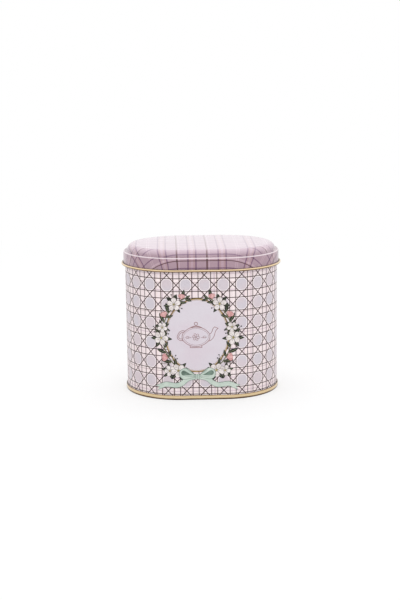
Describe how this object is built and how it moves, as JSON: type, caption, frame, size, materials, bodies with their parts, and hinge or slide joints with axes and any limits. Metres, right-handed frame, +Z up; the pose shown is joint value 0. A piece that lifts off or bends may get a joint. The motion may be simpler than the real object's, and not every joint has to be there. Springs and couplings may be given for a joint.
{
  "type": "tea caddy",
  "caption": "Oval printed tinplate tea caddy with a domed slip lid, a sunk plug lid with a turned knob inside it, and a double-seamed base.",
  "frame": {"origin": "the middle of the caddy's footprint, on the surface that it stands on", "axes": "+Z up, +X along the caddy's width to the right, +Y to the back, so the front faces -Y and the side seam is inside at +Y"},
  "size_m": [0.1238, 0.0908, 0.1151],
  "materials": {
    "printed_body": "satin print, off-white with lilac and plum cane work",
    "gold_lacquer": "gold-lacquered tinplate, glossy",
    "turned_brass": "polished",
    "rivet": "bright",
    "printed_lid": "satin print, lilac and plum plaid"
  },
  "bodies": {
    "body": {"body_shell": "printed_body", "base_panel": "gold_lacquer"},
    "inner_lid": {"inner_lid": "gold_lacquer", "inner_lid_knob": "turned_brass", "knob_rivet": "rivet"},
    "lid": {"lid_shell": "printed_lid"}
  },
  "joints": [
    {"name": "inner_lid_lift", "type": "slide", "parent": "body", "child": "inner_lid", "axis": [0, 0, 1], "range_m": [0, 0.09]},
    {"name": "lid_lift", "type": "slide", "parent": "inner_lid", "child": "lid", "axis": [0, 0, 1], "range_m": [0, 0.07]}
  ]
}
